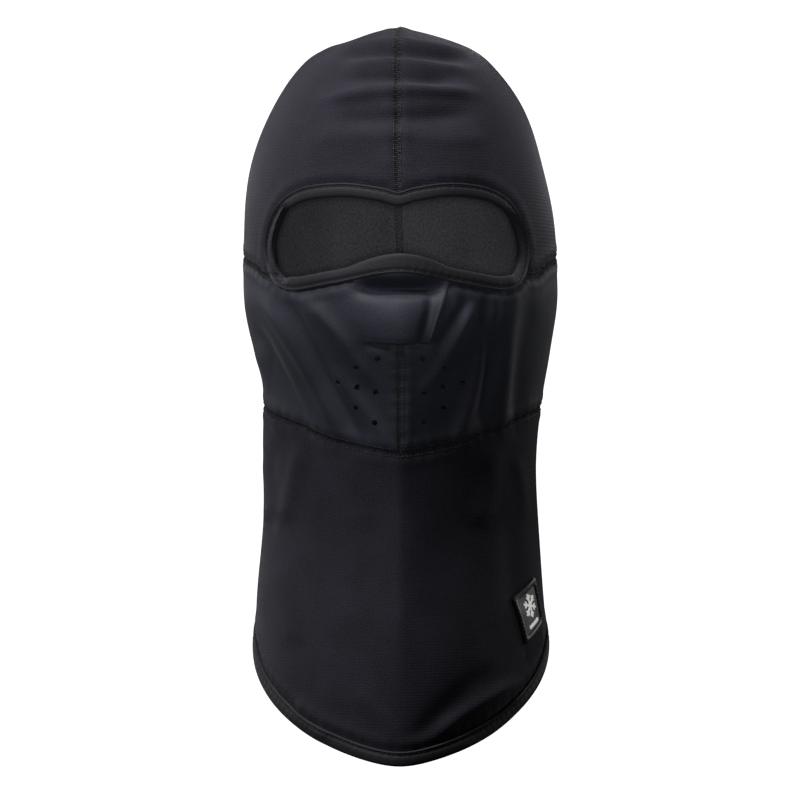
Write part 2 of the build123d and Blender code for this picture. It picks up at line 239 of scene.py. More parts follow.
# Folds of the worn cloth: from and to as (across, height) seen from the front, with half width and height.
folds = {
    "crown": [
        ((-36, 97), (32, 98), 3.0, 2.5), ((-30, 90), (34, 92), 3.0, -3.1), ((-24, 84), (36, 85), 3.0, 1.9),
        ((-30, 76), (26, 78), 3.2, -2.5), ((-38, 68), (38, 70), 3.4, 2.9), ((-34, 57), (36, 58), 5.0, -2.5),
        ((-44, 46), (8, 47), 5.0, 0.9), ((10, 48), (44, 46), 4.0, 0.7),
    ],
    "mask": [
        ((-70, -34), (-33, -106), 4.2, 2.6), ((-61, -36), (-18, -108), 3.4, -2.2),
        ((-77, -44), (-48, -112), 4.0, -2.4), ((-50, -37), (-13, -80), 4.0, 1.9),
        ((-80, -62), (-62, -106), 4.0, 1.7), ((-38, -70), (-6, -112), 3.6, 1.3),
        ((60, -28), (54, -106), 4.6, 2.2), ((50, -33), (29, -108), 4.0, 2.4),
        ((65, -36), (61, -104), 4.6, -1.5), ((44, -40), (42, -102), 3.8, -2.2),
        ((38, -36), (14, -82), 3.8, 1.8), ((77, -42), (69, -98), 4.2, 1.0),
        ((33, -36), (21, -64), 3.0, -1.4), ((-40, -38), (-24, -62), 5.0, 0.6),
    ],
    "neck": [
        ((-55, -112), (-57, -150), 4.5, 1.8), ((-66, -112), (-68, -160), 4.0, -1.2),
        ((20, -260), (58, -233), 3.6, 1.7), ((6, -262), (48, -228), 5.0, -0.8),
        ((34, -264), (60, -244), 3.6, -0.6), ((-54, -246), (-36, -260), 5.5, 1.2),
        ((50, -114), (40, -152), 6.0, 1.4), ((-30, -118), (-18, -152), 6.0, 0.9),
        ((61, -150), (58, -196), 6.5, -1.2), ((-64, -176), (-58, -214), 6.5, 1.1),
        ((-70, -120), (-72, -150), 3.5, 1.5), ((62, -118), (64, -150), 3.5, 1.2),
        ((-20, -236), (-4, -262), 5.0, 0.6),
    ],
    "noseHollow": {"level": -31.0, "halfWidth": 20, "halfHeight": 3.9, "depth": 9.2},
    "noseBulge": {"level": -46, "halfWidth": 13, "halfHeight": 12, "height": 3.2},
    "noseSlit": {"level": -60.0, "halfWidth": 17, "halfHeight": 2.6, "depth": 2.2},
    # how far the sides stray from the even form: (side, level, half height, amount)
    "sides": [
        (-1, -78, 24, -3.8), (1, -36, 16, 1.6), (1, -84, 16, -0.6),
        (-1, -212, 20, -0.8), (-1, -258, 14, 1.6), (1, -262, 12, -0.8),
    ],
    # the top is a soft point over the seam, with a hollow each side of it
    "shoulders": {
        "across": 27, "halfWidth": 14, "level": 86, "depth": 1.6, "rightShare": 0.9, "leftShare": 0.15,
    },
    "peak": {"level": 92, "broad": 1.1, "narrow": 0.7, "drop": 2.2},
}
allFolds = folds["crown"] + folds["mask"] + folds["neck"]


def bell(value, power=2):
    return np.exp(-value ** power)


def foldRelief(place):
    # how far the folds lift the cloth off the even form
    across, depth, z = place[..., 0], place[..., 1], place[..., 2]
    relief = np.zeros(across.shape)
    for (ax, az), (bx, bz), width, height in allFolds:
        dx, dz = bx - ax, bz - az
        length = math.hypot(dx, dz)
        share = ((across - ax) * dx + (z - az) * dz) / length ** 2
        off = ((across - ax) * dz - (z - az) * dx) / length
        off = off + 2.0 * np.sin(share * 3.1 + ax)
        taper = easeStep((share + 0.12) / 0.3) * easeStep((1.12 - share) / 0.3)
        relief = relief + height * taper * bell(off / width)
    frontOnly = easeStep((6 - depth) / 24)
    hollow = folds["noseHollow"]
    relief = relief - hollow["depth"] * bell(across / hollow["halfWidth"], 4) * bell(
        (z - hollow["level"]) / hollow["halfHeight"])
    bulge = folds["noseBulge"]
    relief = relief + bulge["height"] * bell(across / bulge["halfWidth"]) * bell(
        (z - bulge["level"]) / bulge["halfHeight"])
    slit = folds["noseSlit"]
    relief = relief - slit["depth"] * bell(across / slit["halfWidth"], 6) * bell(
        (z - slit["level"]) / slit["halfHeight"])
    relief = relief * frontOnly
    outwards = np.clip(np.abs(across) / 70, 0, 1) ** 3
    for side, level, halfHeight, amount in folds["sides"]:
        relief = relief + amount * outwards * (across * side > 0) * bell((z - level) / halfHeight)
    hollows, peak = folds["shoulders"], folds["peak"]
    dip = bell((np.abs(across) - hollows["across"]) / hollows["halfWidth"])
    dip = dip * easeStep((z - hollows["level"]) / 16)
    dip = dip * np.where(across < 0, hollows["rightShare"], hollows["leftShare"])
    point = peak["broad"] * np.exp(-np.abs(across) / 9) + peak["narrow"] * bell(across / 3) - peak["drop"]
    return relief - hollows["depth"] * dip + point * easeStep((z - peak["level"]) / 16)


def slowWave(point):
    # broad unevenness of soft cloth over a head form
    x, y, z = point[..., 0], point[..., 1], point[..., 2]
    wave = 0.35 * np.sin(x / 17 + z / 31 + 1.1) * np.sin(y / 23 - z / 19)
    wave = wave + 0.25 * np.sin(x / 9.5 - z / 13 + y / 15)
    back = easeStep((y - 20) / 30)
    # soft rolls across the nape
    return wave + back * 0.9 * np.sin(z / 11 + 0.4 * np.sin(x / 14)) * bell((z + 118) / 42)


# Seams pull the cloth in along a line and pucker it beside the line.
pucker = {
    "pull": 0.95, "halfWidth": 1.9, "swell": 0.35, "swellGap": 5, "swellWidth": 2.6,
    "ripple": 0.16, "rippleLength": 7.5, "reach": 6.0,
}
seamTree = {"tree": None, "along": None, "cells": set()}


def seamRelief(point):
    if seamTree["tree"] is None:
        return np.zeros(point.shape[:-1])
    flat = point.reshape(-1, 3)
    relief = np.zeros(len(flat))
    reach = pucker["reach"] * 2
    cells = seamTree["cells"]
    near = np.array([tuple(cell) in cells for cell in np.floor(flat / reach).astype(int)], bool)
    find = seamTree["tree"].find
    hits = [find(place)[1:] for place in flat[near]]
    if hits:
        along = seamTree["along"][np.array([hit[0] for hit in hits])]
        gap = np.array([hit[1] for hit in hits])
        swell = pucker["swell"] * bell((gap - pucker["swellGap"]) / pucker["swellWidth"])
        pull = pucker["pull"] * bell(gap / pucker["halfWidth"])
        ripple = np.sin(2 * math.pi * along / pucker["rippleLength"] + 2.2 * np.sin(along / 23))
        relief[near] = swell - pull + pucker["ripple"] * ripple * bell(gap / pucker["reach"])
    return relief.reshape(point.shape[:-1])


def clothLayers(turn, run, lifts, seams=True):
    # points of the cloth in metres, one array for each lift off its outer face
    turn, run = np.asarray(turn, float), np.asarray(run, float)
    base = formPoint(turn, run)
    relief = foldRelief(base) + slowWave(base)
    if seams:
        relief = relief + seamRelief(base)
    normal = formNormal(turn, run)
    return [(base + normal * (relief + lift)[..., None]) * mm for lift in lifts]


def clothPoint(turn, run, lift=0.0, seams=True):
    return clothLayers(turn, run, [lift], seams)[0]


def chartMove(turn, run, acrossStep, downStep):
    # moves by millimetres along the cloth, across and down
    small = 0.004
    across = np.linalg.norm(formPoint(turn + small, run) - formPoint(turn - small, run), axis=-1) / (2 * small)
    down = np.linalg.norm(formPoint(turn, run + 0.4) - formPoint(turn, run - 0.4), axis=-1) / 0.8
    return turn + acrossStep / np.maximum(across, 1), run + downStep / np.maximum(down, 0.1)


def chartPath(turn, run, closed=False):
    # a path on the cloth, with its length so far and the step to its left, in chart units
    turn, run = np.asarray(turn, float), np.asarray(run, float)
    base = formPoint(turn, run)
    if closed:
        ahead = np.roll(base, -1, axis=0) - np.roll(base, 1, axis=0)
    else:
        ahead = np.gradient(base, axis=0)
    ahead /= np.maximum(np.linalg.norm(ahead, axis=1, keepdims=True), 1e-9)
    left = np.cross(formNormal(turn, run), ahead)
    small = 0.004
    acrossRate = (formPoint(turn + small, run) - formPoint(turn - small, run)) / (2 * small)
    downRate = (formPoint(turn, run + 0.4) - formPoint(turn, run - 0.4)) / 0.8
    moveTurn = np.sum(left * acrossRate, axis=1) / np.maximum(np.sum(acrossRate ** 2, axis=1), 1)
    moveRun = np.sum(left * downRate, axis=1) / np.maximum(np.sum(downRate ** 2, axis=1), 0.01)
    steps = np.linalg.norm(np.diff(base, axis=0), axis=1)
    along = np.concatenate([[0], np.cumsum(steps)])
    total = along[-1] + (np.linalg.norm(base[0] - base[-1]) if closed else 0)
    return {
        "turn": turn, "run": run, "moveTurn": moveTurn, "moveRun": moveRun,
        "along": along, "total": total, "closed": closed,
    }


def onPath(path, along, left=0.0, lift=0.0, seams=True):
    # points beside a path, at lengths along it
    along = np.asarray(along, float)
    if path["closed"]:
        along = np.mod(along, path["total"])
        grid = np.append(path["along"], path["total"])
        keys = ("run", "moveTurn", "moveRun")
        value = {key: np.interp(along, grid, np.append(path[key], path[key][0])) for key in keys}
        value["turn"] = np.interp(along, grid, np.append(path["turn"], closingTurn(path["turn"])))
    else:
        keys = ("turn", "run", "moveTurn", "moveRun")
        value = {key: np.interp(along, path["along"], path[key]) for key in keys}
    turn = value["turn"] + left * value["moveTurn"]
    run = value["run"] + left * value["moveRun"]
    return clothPoint(turn, run, lift, seams)


def evenPath(turn, run, spacing=1.5, closed=False):
    base = formPoint(np.asarray(turn, float), np.asarray(run, float))
    both = np.column_stack([base, turn, run])
    if closed:
        both = np.vstack([both, both[:1]])
        both[-1, 3] = closingTurn(both[:-1, 3])
    along = np.concatenate([[0], np.cumsum(np.linalg.norm(np.diff(both[:, :3], axis=0), axis=1))])
    count = int(along[-1] / spacing) + 1
    places = np.linspace(0, along[-1], count, endpoint=not closed)
    return chartPath(np.interp(places, along, both[:, 3]), np.interp(places, along, both[:, 4]), closed)


def solveLevel(turn, levelOfDepth, start=-100.0):
    # level at which a side-view line crosses each turn
    z = np.full(np.shape(turn), float(start))
    for _ in range(40):
        depth = formPoint(turn, runOfLevel(z))[..., 1]
        z = 0.5 * z + 0.5 * levelOfDepth(depth)
    return z


def solveTurn(z, depthOfLevel):
    # turn at which the side seam's depth is met at each level
    low, high = np.full(np.shape(z), 1.0), np.full(np.shape(z), 3.0)
    run = runOfLevel(z)
    for _ in range(40):
        middle = (low + high) / 2
        behind = formPoint(middle, run)[..., 1] > depthOfLevel(z)
        high = np.where(behind, middle, high)
        low = np.where(behind, low, middle)
    return (low + high) / 2


sideLevels = np.linspace(pattern["sideSeamTop"], pattern["sideSeamFoot"], 140)
sideTurns = solveTurn(sideLevels, sideDepth)
sidePath = {side: evenPath(side * sideTurns, runOfLevel(sideLevels)) for side in (1, -1)}

chinTurns = np.linspace(-float(sideTurns[60]), float(sideTurns[60]), 240)
chinLevels = solveLevel(chinTurns, chinLevel)
keepChin = np.abs(chinTurns) <= np.interp(chinLevels, sideLevels[::-1], sideTurns[::-1])
chinPath = evenPath(chinTurns[keepChin], runOfLevel(chinLevels[keepChin]))

cheekTurns = np.linspace(pattern["cheekSeamTurn"], float(sideTurns[0]), 80)
cheekLevels = solveLevel(cheekTurns, cheekLevel, -20)
cheekOut = loopDistance(cheekTurns * shape["eyeGirthRadius"], cheekLevels, eyeLoop) > -1.5
cheekTurns, cheekLevels = cheekTurns[cheekOut], cheekLevels[cheekOut]
cheekPath = {side: evenPath(side * cheekTurns, runOfLevel(cheekLevels)) for side in (1, -1)}

hemTurns = np.linspace(-math.pi, math.pi, 480, endpoint=False)
hemLevels = solveLevel(hemTurns, hemLevel, -230)
hemPath = evenPath(hemTurns, runOfLevel(hemLevels), closed=True)
hemBackLevel = float(solveLevel(np.array([math.pi]), hemLevel, -230)[0])

crownSeamTop = 1.5
frontSeamFoot = float(runOfLevel(pattern["crownSeamFoot"]))
crownFrontPath = evenPath(np.zeros(90), np.linspace(frontSeamFoot, crownSeamTop, 90))
backSeamFoot = float(runOfLevel(hemBackLevel + pattern["hemBindingWidth"]))
crownBackPath = evenPath(np.full(200, math.pi), np.linspace(crownSeamTop, backSeamFoot, 200))
maskSeamFoot = float(chinLevels[len(chinLevels) // 2]) + 1.5
maskSeamPath = evenPath(np.zeros(60), runOfLevel(np.linspace(pattern["maskSeamTop"], maskSeamFoot, 60)))
eyePath = evenPath(eyeLoop[:, 0] / shape["eyeGirthRadius"], runOfLevel(eyeLoop[:, 1]), closed=True)


def plantSeams(paths):
    # remembers where the seams lie, so that the cloth puckers beside them
    places, along = [], []
    for path in paths:
        places.extend(formPoint(path["turn"], path["run"]))
        along.extend(path["along"])
    tree = kdtree.KDTree(len(places))
    for index, place in enumerate(places):
        tree.insert(place, index)
    tree.balance()
    reach = pucker["reach"] * 2
    for cell in np.floor(np.array(places) / reach).astype(int):
        x, y, z = cell
        near = (-1, 0, 1)
        seamTree["cells"].update((x + i, y + j, z + k) for i in near for j in near for k in near)
    seamTree["tree"], seamTree["along"] = tree, np.array(along)


hemTopPath = evenPath(hemPath["turn"], hemPath["run"] - pattern["hemBindingWidth"], closed=True)
middlePaths = [crownFrontPath, crownBackPath, maskSeamPath, chinPath]
plantSeams(middlePaths + [cheekPath[1], cheekPath[-1], sidePath[1], sidePath[-1], eyePath, hemTopPath])
print("pattern lines ready")


# Materials.
def linearColour(hexText):
    values = [int(hexText[k:k + 2], 16) / 255 for k in (0, 2, 4)]
    return [v / 12.92 if v <= 0.04045 else ((v + 0.055) / 1.055) ** 2.4 for v in values] + [1.0]


def newMaterial(name):
    material = bpy.data.materials.new(name)
    material.use_nodes = True
    return material, material.node_tree, material.node_tree.nodes["Principled BSDF"]


def addNode(tree, kind, settings=None, links=None):
    node = tree.nodes.new(kind)
    for key, value in (settings or {}).items():
        if isinstance(key, int) or key in node.inputs:
            node.inputs[key].default_value = value
        else:
            setattr(node, key, value)
    for key, source in (links or {}).items():
        tree.links.new(source, node.inputs[key])
    return node


def weaveCoordinates(tree, waleMm, courseMm):
    # cloth position in millimetres, from the pattern laid on each panel
    place = addNode(tree, "ShaderNodeAttribute", {"attribute_name": "weave"})
    parts = addNode(tree, "ShaderNodeSeparateXYZ", links={0: place.outputs["Vector"]})
    waleScale, courseScale = 2 * math.pi / waleMm, 2 * math.pi / courseMm
    wale = addNode(tree, "ShaderNodeMath", {"operation": "MULTIPLY", 1: waleScale}, {0: parts.outputs["X"]})
    course = addNode(tree, "ShaderNodeMath", {"operation": "MULTIPLY", 1: courseScale}, {0: parts.outputs["Y"]})
    return place, wale, course


def knitMaterial(name, colours, waleMm, courseMm, depthMm, roughness, sheen, sheenRough, mottle, fuzz, ribs):
    material, tree, shader = newMaterial(name)
    place, wale, course = weaveCoordinates(tree, waleMm, courseMm)
    waleWave = addNode(tree, "ShaderNodeMath", {"operation": "SINE"}, {0: wale.outputs[0]})
    rowWave = addNode(tree, "ShaderNodeMath", {"operation": "SINE"}, {0: course.outputs[0]})
    loops = addNode(tree, "ShaderNodeMath", {"operation": "MULTIPLY_ADD", 1: 0.45},
                    {0: rowWave.outputs[0], 2: waleWave.outputs[0]})
    knit = addNode(tree, "ShaderNodeMath", {"operation": "MULTIPLY", 1: ribs}, {0: loops.outputs[0]})
    lint = addNode(tree, "ShaderNodeTexNoise", {"Scale": fuzz, "Detail": 4.0, "Roughness": 0.65},
                   {"Vector": place.outputs["Vector"]})
    broad = addNode(tree, "ShaderNodeTexNoise", {"Scale": 0.035, "Detail": 3.0, "Roughness": 0.55},
                    {"Vector": place.outputs["Vector"]})
    both = addNode(tree, "ShaderNodeMath", {"operation": "MULTIPLY_ADD", 1: 0.3},
                   {0: broad.outputs["Fac"], 2: lint.outputs["Fac"]})
    ramp = addNode(tree, "ShaderNodeValToRGB", links={0: both.outputs[0]})
    ramp.color_ramp.elements[0].position = 0.48
    ramp.color_ramp.elements[0].color = linearColour(colours[0])
    ramp.color_ramp.elements[1].position = 0.82
    ramp.color_ramp.elements[1].color = linearColour(colours[1])
    shade = addNode(tree, "ShaderNodeMath", {"operation": "MULTIPLY_ADD", 1: mottle, 2: 1 - mottle},
                    {0: waleWave.outputs[0]})
    tint = addNode(tree, "ShaderNodeMix", {"data_type": "RGBA", "blend_type": "MULTIPLY"},
                   {6: ramp.outputs[0], 7: shade.outputs[0]})
    tint.inputs[0].default_value = 1.0
    height = addNode(tree, "ShaderNodeMath", {"operation": "MULTIPLY_ADD", 1: 0.8},
                     {0: lint.outputs["Fac"], 2: knit.outputs[0]})
    bump = addNode(tree, "ShaderNodeBump", {"Strength": 1.0, "Distance": depthMm * mm},
                   {"Height": height.outputs[0]})
    tree.links.new(tint.outputs[2], shader.inputs["Base Color"])
    tree.links.new(bump.outputs[0], shader.inputs["Normal"])
    shader.inputs["Roughness"].default_value = roughness
    shader.inputs["IOR"].default_value = 1.5
    shader.inputs["Specular IOR Level"].default_value = 0.25
    shader.inputs["Sheen Weight"].default_value = sheen
    shader.inputs["Sheen Roughness"].default_value = sheenRough
    shader.inputs["Sheen Tint"].default_value = linearColour("d8d8e4")
    return material


def plainMaterial(name, colourHex, roughness, grainDepth, grainMm, sheen, specular, shade=0.72):
    material, tree, shader = newMaterial(name)
    place = addNode(tree, "ShaderNodeTexCoord")
    noise = addNode(tree, "ShaderNodeTexNoise", {"Scale": 1000 / grainMm, "Detail": 3.0, "Roughness": 0.6},
                    {"Vector": place.outputs["Object"]})
    dark = [c * shade for c in linearColour(colourHex)[:3]] + [1.0]
    ramp = addNode(tree, "ShaderNodeValToRGB", links={0: noise.outputs["Fac"]})
    ramp.color_ramp.elements[0].position = 0.3
    ramp.color_ramp.elements[0].color = dark
    ramp.color_ramp.elements[1].position = 0.75
    ramp.color_ramp.elements[1].color = linearColour(colourHex)
    bump = addNode(tree, "ShaderNodeBump", {"Strength": 1.0, "Distance": grainDepth * mm},
                   {"Height": noise.outputs["Fac"]})
    tree.links.new(ramp.outputs[0], shader.inputs["Base Color"])
    tree.links.new(bump.outputs[0], shader.inputs["Normal"])
    shader.inputs["Roughness"].default_value = roughness
    shader.inputs["IOR"].default_value = 1.5
    shader.inputs["Specular IOR Level"].default_value = specular
    shader.inputs["Sheen Weight"].default_value = sheen
    shader.inputs["Sheen Roughness"].default_value = 0.45
    return material


# Stretch fleece: polyester-elastane knit with a smooth face, so a soft grey glow at grazing angles.
# Real wales are 0.6 mm apart, too fine to show at this size, so they are drawn 1.2 mm apart.
fleeceFace = knitMaterial(
    "stretchFleeceFace", ("0f0e14", "302e3a"), waleMm=1.2, courseMm=1.5, depthMm=0.06,
    roughness=0.88, sheen=0.16, sheenRough=0.38, mottle=0.05, fuzz=1.3, ribs=0.55)
# The brushed inside of the same fleece, without wales. Its grey is partly the nap and partly painted light: the
# inside is drawn lighter than the face so that the inside wall shows lit.
fleeceNapAndPaintedLight = knitMaterial(
    "stretchFleeceBrushedPaintedLight", ("4c4a50", "77747b"), waleMm=3.1, courseMm=2.7, depthMm=0.12,
    roughness=0.95, sheen=0.2, sheenRough=0.6, mottle=0.01, fuzz=0.9, ribs=0.1)
# Softshell: dense woven face over a membrane, flatter and bluer than the fleece, with a tighter highlight.
# Real threads are 0.3 mm apart, drawn 0.9 mm apart so that they show.
softshell = knitMaterial(
    "softshellWoven", ("181a22", "353743"), waleMm=0.9, courseMm=0.9, depthMm=0.035,
    roughness=0.62, sheen=0.14, sheenRough=0.3, mottle=0.02, fuzz=1.7, ribs=0.4)
# Fold-over elastic: smooth satin tape with fine ribs along it, a little shinier than the fleece.
# Real ribs are about 0.5 mm apart, drawn 1.1 mm apart so that they show.
elastic = knitMaterial(
    "foldOverElasticSatin", ("17161b", "2a292f"), waleMm=1.1, courseMm=0.8, depthMm=0.03,
    roughness=0.65, sheen=0.22, sheenRough=0.35, mottle=0.03, fuzz=1.8, ribs=0.35)
# Textured polyester thread: near-black, faint gloss on each strand.
thread = plainMaterial(
    "polyesterThreadTextured", "1d1d21", roughness=0.55, grainDepth=0.02, grainMm=0.4, sheen=0.12, specular=0.45)
# Knitted mesh of polyester: matt black strands.
meshStrand = plainMaterial(
    "polyesterMeshKnitted", "1a1a1d", roughness=0.7, grainDepth=0.02, grainMm=0.5, sheen=0.2, specular=0.3)
# Moulded PVC: satin black with a fine moulding grain.
mouldedPvc = plainMaterial(
    "pvcMouldedBlack", "17171a", roughness=0.42, grainDepth=0.03, grainMm=0.6, sheen=0.0, specular=0.5)
# The white colour shot of the same PVC, slightly matt.
whitePvcAndPaintedGlow = plainMaterial(
    "pvcMouldedWhitePaintedGlow", "f6f6f4", roughness=0.5, grainDepth=0.02, grainMm=0.6, sheen=0.0, specular=0.6, shade=0.93)
# painted light: the white glows faintly by itself, so that the emblem stays bright in the shade
whitePaintedGlowShader = whitePvcAndPaintedGlow.node_tree.nodes["Principled BSDF"]
whitePaintedGlowShader.inputs["Emission Color"].default_value = (1, 1, 1, 1)
whitePaintedGlowShader.inputs["Emission Strength"].default_value = 0.3
# Satin label tape: white, smooth, blank.
satinTape = plainMaterial(
    "labelTapeSatin", "dcdcd6", roughness=0.45, grainDepth=0.03, grainMm=0.35, sheen=0.3, specular=0.5)
print("materials ready")


def newObject(name, points, faces, materials, weave=None, faceMaterial=None, sharp=50):
    mesh = bpy.data.meshes.new(name)
    mesh.from_pydata([tuple(p) for p in points], [], [tuple(int(i) for i in f) for f in faces])
    for material in materials:
        mesh.materials.append(material)
    if faceMaterial is not None:
        mesh.polygons.foreach_set("material_index", np.asarray(faceMaterial, dtype=np.int32))
    if weave is not None:
        layer = mesh.attributes.new("weave", "FLOAT_VECTOR", "POINT")
        layer.data.foreach_set("vector", np.asarray(weave, dtype=np.float32).ravel())
    mesh.validate()
    mesh.polygons.foreach_set("use_smooth", np.ones(len(mesh.polygons), dtype=bool))
    mesh.set_sharp_from_angle(angle=math.radians(sharp))
    mesh.update()
    piece = bpy.data.objects.new(name, mesh)
    bpy.context.scene.collection.objects.link(piece)
    return piece


def gridFaces(rows, columns, closedRows=False, closedColumns=False):
    faces = []
    for i in range(rows if closedRows else rows - 1):
        for j in range(columns if closedColumns else columns - 1):
            a, b = i * columns + j, i * columns + (j + 1) % columns
            c, d = ((i + 1) % rows) * columns + (j + 1) % columns, ((i + 1) % rows) * columns + j
            faces.append((a, b, c, d))
    return faces


def clipped(turn, run, faces, keep):
    # cuts a chart mesh along the zero line of keep and drops its negative side
    value = keep(turn, run)
    value = np.where(np.abs(value) < 0.02, 0.02, value)
    turn, run = list(turn), list(run)
    cuts, kept = {}, []
    for face in faces:
        signs = [value[i] > 0 for i in face]
        if all(signs):
            kept.append(face)
            continue
        if not any(signs):
            continue
        ring = []
        for a, b in zip(face, face[1:] + face[:1]):
            if value[a] > 0:
                ring.append(a)
            if (value[a] > 0) != (value[b] > 0):
                key = (min(a, b), max(a, b))
                if key not in cuts:
                    share = value[a] / (value[a] - value[b])
                    cuts[key] = len(turn)
                    turn.append(turn[a] + share * (turn[b] - turn[a]))
                    run.append(run[a] + share * (run[b] - run[a]))
                ring.append(cuts[key])
        if len(ring) > 2:
            kept.append(tuple(ring))
    used = sorted({i for face in kept for i in face})
    place = {old: new for new, old in enumerate(used)}
    turn, run = np.array(turn)[used], np.array(run)[used]
    return turn, run, [tuple(place[i] for i in face) for face in kept]


def chartGrid(turnRange, runRange, step, girth=85.0):
    columns = max(3, int((turnRange[1] - turnRange[0]) * girth / step) + 1)
    rows = max(3, int((runRange[1] - runRange[0]) / step) + 1)
    turns = np.linspace(turnRange[0], turnRange[1], columns)
    runs = np.linspace(runRange[0], runRange[1], rows)
    turn, run = np.meshgrid(turns, runs)
    return turn.ravel(), run.ravel(), gridFaces(rows, columns)


def closedSheet(faces, count):
    # the faces, the same turned over on the second layer of points, and the cut edge between the layers
    edges = {(a, b) for face in faces for a, b in zip(face, face[1:] + face[:1])}
    rim = sorted((a, a + count, b + count, b) for (a, b) in edges if (b, a) not in edges)
    inside = [tuple(i + count for i in reversed(face)) for face in faces]
    return faces + inside + rim


def clothPiece(name, turn, run, faces, layers, outerFace, innerFace):
    # two layers of cloth joined at their edges, with the pattern's place of each point for the weave
    count = len(turn)
    both = closedSheet(faces, count)
    flat = np.column_stack([turn * shape["eyeGirthRadius"], run, np.zeros(count)])
    slots = [0] * len(faces) + [1] * len(faces) + [0] * (len(both) - 2 * len(faces))
    return newObject(name, np.vstack(layers), both, [outerFace, innerFace], np.vstack([flat, flat]), slots)


def makePanel(name, turn, run, faces, outerFace):
    layers = clothLayers(turn, run, [0.0, -shape["clothThickness"]])
    # the inside face takes the brushed fleece, whose lighter grey is partly painted light
    piece = clothPiece(name, turn, run, faces, layers, outerFace, fleeceNapAndPaintedLight)
    declareSheet(piece, turn, run, faces)
    return piece


def wornArea(turn, run, faces):
    base = formPoint(turn, run)
    total = 0.0
    for face in faces:
        for k in range(1, len(face) - 1):
            a, b, c = base[face[0]], base[face[k]], base[face[k + 1]]
            total += np.linalg.norm(np.cross(b - a, c - a)) / 2
    return total * mm * mm


def tubes(lines, radius, sides=5):
    # each line becomes a thin round strand with closed ends
    points, faces = [], []
    for line in lines:
        line = np.asarray(line)
        ahead = np.gradient(line, axis=0)
        ahead /= np.maximum(np.linalg.norm(ahead, axis=1, keepdims=True), 1e-12)
        guide = np.array([0.31, 0.47, 0.83])
        first = np.cross(ahead, guide)
        first /= np.maximum(np.linalg.norm(first, axis=1, keepdims=True), 1e-12)
        second = np.cross(ahead, first)
        start = len(points)
        for place, u, v in zip(line, first, second):
            for k in range(sides):
                angle = 2 * math.pi * k / sides
                points.append(place + radius * (math.cos(angle) * u + math.sin(angle) * v))
        rings = len(line)
        for i in range(rings - 1):
            for k in range(sides):
                a, b = start + i * sides + k, start + i * sides + (k + 1) % sides
                faces.append((a, b, b + sides, a + sides))
        faces.append(tuple(start + k for k in reversed(range(sides))))
        faces.append(tuple(start + (rings - 1) * sides + k for k in range(sides)))
    return points, faces


def ridesOnHood(piece, slotName, *nodes):
    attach(piece, "hood")
    if nodes:
        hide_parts(*nodes)
    return piece


# The cut panels of the hood.
panels = {
    "step": 1.7, "maskStep": 0.9, "cutStretch": 0.94, "lowestLevel": -292,
    "underBinding": 2.5, "eyeHem": 0.4,
}


def keepAboveHem(turn, run):
    base = formPoint(turn, run)
    return base[..., 2] - hemLevel(base[..., 1]) - pattern["hemBindingWidth"] + panels["underBinding"]


def keepOutsideEye(turn, run):
    return loopDistance(turn * shape["eyeGirthRadius"], levelOfRun(run), eyeLoop) + panels["eyeHem"]


def aboveCheek(turn, run):
    base = formPoint(turn, run)
    return base[..., 2] - cheekLevel(base[..., 1])


def behindSide(turn, run):
    base = formPoint(turn, run)
    return base[..., 1] - sideDepth(base[..., 2])


def aboveChin(turn, run):
    base = formPoint(turn, run)
    return base[..., 2] - chinLevel(base[..., 1])


def declareSheet(piece, turn, run, faces):
    # cut a little smaller than it is worn, because the cloth is stretched over the head
    area = wornArea(turn, run, faces) * panels["cutStretch"]
    width = (np.ptp(turn) * shape["eyeGirthRadius"]) * mm
    length = max(np.ptp(run) * mm, area / width)
    width = max(width, area / length)
    print(piece.name, "flat", round(width, 3), round(length, 3), "area", round(area, 4))


def placedOnSide(turn, faces, side):
    # the right half is the left one mirrored, and the faces look outwards on both
    if side < 0:
        return -turn, faces
    return turn, [tuple(reversed(face)) for face in faces]


def makeCrown(side):
    # one half of the fleece: crown, side and back
    name = "crownLeftCloth" if side > 0 else "crownRightCloth"
    low = float(runOfLevel(panels["lowestLevel"]))
    turn, run, faces = chartGrid((0.0, math.pi), (0.6, low), panels["step"])
    keeps = (keepAboveHem, keepOutsideEye, lambda t, r: np.maximum(aboveCheek(t, r), behindSide(t, r)))
    for keep in keeps:
        turn, run, faces = clipped(turn, run, faces, keep)
    turn, faces = placedOnSide(turn, faces, side)
    piece = makePanel(name, turn, run, faces, fleeceFace)
    return ridesOnHood(piece, "fleece_black", "crown_left" if side > 0 else "crown_right")


for side in (1, -1):
    makeCrown(side)
print("crown ready")

# Holes of the left half of the mask as (across, height), and the breathing opening under the flap.
vents = {
    "radius": 1.5,
    "places": [(11.5, -67), (22, -71), (32, -79), (22, -81.5), (12.5, -84), (22.5, -92), (12.5, -99.5)],
    "noseHalfWidth": 10, "noseTop": -34, "noseFoot": -55,
}


def outsideVents(turn, run):
    base = formPoint(turn, run)
    across, z = np.abs(base[..., 0]), base[..., 2]
    gap = np.full(across.shape, 99.0)
    for x, level in vents["places"]:
        gap = np.minimum(gap, np.hypot(across - x, z - level) - vents["radius"])
    middle = (vents["noseTop"] + vents["noseFoot"]) / 2
    half = (vents["noseTop"] - vents["noseFoot"]) / 2
    return np.minimum(gap, np.maximum(across - vents["noseHalfWidth"], np.abs(z - middle) - half))


